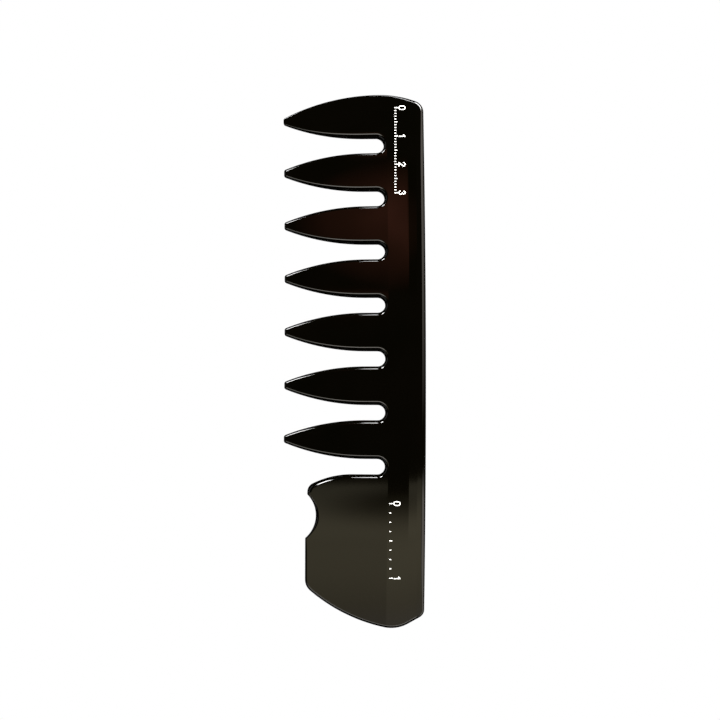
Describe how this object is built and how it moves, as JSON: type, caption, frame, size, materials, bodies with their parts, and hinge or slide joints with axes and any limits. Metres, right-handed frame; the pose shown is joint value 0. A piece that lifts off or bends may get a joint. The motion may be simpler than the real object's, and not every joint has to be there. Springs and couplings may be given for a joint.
{
  "type": "wide-tooth rake comb",
  "caption": "One-piece wide-tooth rake comb with leaf-shaped teeth, a tapered spine, a short blade-like handle with a finger notch, and small printed scales.",
  "frame": {"origin": "under the middle of the comb's bounding box, on the plane it lies on", "axes": "+X from the tooth tips to the back, +Y from the handle end to the toothed end, +Z out of the printed face"},
  "size_m": [0.0498, 0.1846, 0.0043],
  "materials": {
    "comb_plastic": "polished black injection moulding",
    "print_ink": "white pad-printed ink"
  },
  "bodies": {
    "root": {"comb": "comb_plastic", "cm_scale_print": "print_ink", "inch_scale_print": "print_ink"}
  },
  "joints": []
}
